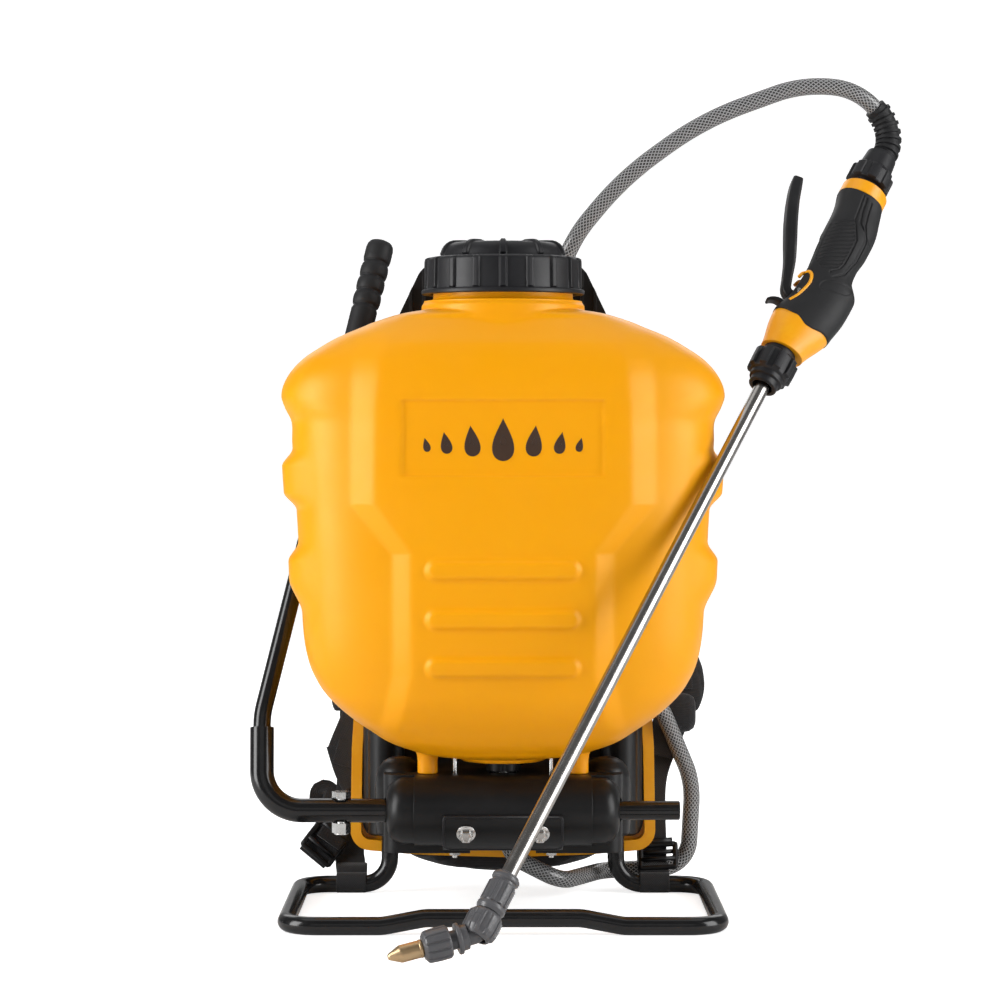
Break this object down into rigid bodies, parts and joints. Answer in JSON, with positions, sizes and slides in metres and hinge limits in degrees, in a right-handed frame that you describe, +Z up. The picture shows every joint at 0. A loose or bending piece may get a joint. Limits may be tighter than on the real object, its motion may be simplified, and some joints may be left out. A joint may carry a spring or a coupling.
{
  "type": "backpack sprayer",
  "caption": "Lever-pumped backpack sprayer: moulded tank, tube base, folding pump lever, padded harness, braided hose and a trigger wand with an angled nozzle.",
  "frame": {"origin": "on the ground, straight under the pump and the middle of the filling neck", "axes": "+Z up, -Y out of the tank's front face, +Y towards the wearer, +X to the wearer's left as seen from the front of the tank"},
  "size_m": [0.5328, 0.4847, 0.6764],
  "materials": {
    "tank_plastic": "satin blow-moulded polyethylene",
    "yellow_plastic": "satin moulded",
    "black_plastic": "fine moulded texture",
    "soft_rubber": "matt ribbed",
    "rubber_seal": "smooth",
    "black_paint": "satin powder coat",
    "zinc_steel": "bright zinc plate",
    "stainless_steel": "drawn and polished",
    "grey_plastic": "moulded",
    "brass_metal": "machined",
    "white_plastic": "moulded",
    "braided_hose": "clear tube over a crossed braid",
    "black_fabric": "woven cover over foam",
    "black_webbing": "ribbed webbing"
  },
  "bodies": {
    "sprayer": {"tank": "tank_plastic", "pump_cylinder": "white_plastic", "pump_gland": "black_plastic", "outlet_valve": "rubber_seal", "pressure_chamber": "white_plastic", "discharge_pipe": "white_plastic", "outlet_elbow": "black_plastic", "base_housing": "black_plastic", "crank_cover": "black_plastic", "cover_bolts": "zinc_steel", "shaft_bushes": "white_plastic", "base_frame": "black_paint", "frame_screws": "zinc_steel", "tie_rods": "zinc_steel", "tie_rod_nuts": "zinc_steel", "back_plate": "yellow_plastic", "plate_screws": "zinc_steel", "top_handle": "black_plastic", "lumbar_pad": "black_fabric", "back_pad": "black_fabric", "right_strap": "black_fabric", "left_strap": "black_fabric", "right_webbing": "black_webbing", "left_webbing": "black_webbing", "right_buckle": "black_plastic", "left_buckle": "black_plastic", "hose_lower": "braided_hose", "hose_clamp": "stainless_steel", "hose_clip": "black_plastic"},
    "lid_carrier": {"lid_seal": "rubber_seal"},
    "lid": {"lid": "black_plastic", "vent_valve": "white_plastic"},
    "strainer": {"strainer": "black_plastic"},
    "lever": {"pump_shaft": "black_paint", "crank": "zinc_steel", "lever_lower": "black_paint", "lever_upper": "black_paint", "lever_grip": "soft_rubber", "lever_bolt": "zinc_steel", "lever_nut": "zinc_steel"},
    "plunger": {"plunger": "zinc_steel", "piston": "white_plastic", "cup_seal": "rubber_seal"},
    "wand": {"hose_upper": "braided_hose", "strain_relief": "soft_rubber", "hose_nut": "black_plastic", "handle_core": "yellow_plastic", "handle_grip": "soft_rubber", "trigger_pin": "zinc_steel", "valve_spring": "stainless_steel", "wand_nut": "black_plastic", "wand_tube": "stainless_steel", "nozzle_nut": "grey_plastic"},
    "trigger": {"trigger": "black_plastic"},
    "trigger_lock": {"trigger_lock": "black_plastic"},
    "valve_stem": {"valve_stem": "brass_metal"},
    "nozzle_elbow": {"elbow": "grey_plastic"},
    "nozzle_tip": {"nozzle_cap": "grey_plastic", "nozzle_tip": "brass_metal"}
  },
  "joints": [
    {"name": "pump_lever", "type": "hinge", "parent": "sprayer", "child": "lever", "pos_m": [0, -0.032, 0.084], "axis": [-1, 0, 0], "range_deg": [0, 70]},
    {"name": "plunger_slide", "type": "slide", "parent": "sprayer", "child": "plunger", "axis": [0, 0, 1], "range_m": [-0.037, 0]},
    {"name": "lid_lift", "type": "slide", "parent": "sprayer", "child": "lid_carrier", "axis": [0, 0, 1], "range_m": [0, 0.18]},
    {"name": "lid_turn", "type": "hinge", "parent": "lid_carrier", "child": "lid", "pos_m": [0, 0, 0.515], "axis": [0, 0, 1], "continuous": true},
    {"name": "strainer_lift", "type": "slide", "parent": "sprayer", "child": "strainer", "axis": [0, 0, 1], "range_m": [0, 0.09]},
    {"name": "hose_swing", "type": "hinge", "parent": "sprayer", "child": "wand", "pos_m": [0.044, 0.089, 0.44], "axis": [0, 0, 1], "range_deg": [0, 70]},
    {"name": "trigger_squeeze", "type": "hinge", "parent": "wand", "child": "trigger", "pos_m": [0.23572, 0.02085, 0.49097], "axis": [-0.1549, 0.8843, -0.4405], "range_deg": [0, 16]},
    {"name": "valve_stem_slide", "type": "slide", "parent": "wand", "child": "valve_stem", "axis": [-0.4377, -0.4612, -0.7719], "range_m": [0, 0.0031], "deforming": ["valve_spring"]},
    {"name": "trigger_lock_flip", "type": "hinge", "parent": "wand", "child": "trigger_lock", "pos_m": [0.22382, 0.01637, 0.48615], "axis": [-0.1549, 0.8843, -0.4405], "range_deg": [0, 40]},
    {"name": "elbow_turn", "type": "hinge", "parent": "wand", "child": "nozzle_elbow", "pos_m": [-0.01846, -0.25603, 0.0245], "axis": [0.4377, 0.4612, 0.7719], "range_deg": [0, 95]},
    {"name": "nozzle_turn", "type": "hinge", "parent": "nozzle_elbow", "child": "nozzle_tip", "pos_m": [-0.01846, -0.25603, 0.0245], "axis": [-0.9564, -0.1913, -0.2207], "continuous": true}
  ],
  "couplings": [
    {"joint": "plunger_slide", "follows": "pump_lever", "m_per_rad": -0.03004},
    {"joint": "strainer_lift", "follows": "lid_lift", "ratio": 0.5},
    {"joint": "valve_stem_slide", "follows": "trigger_squeeze", "m_per_rad": 0.0108}
  ]
}
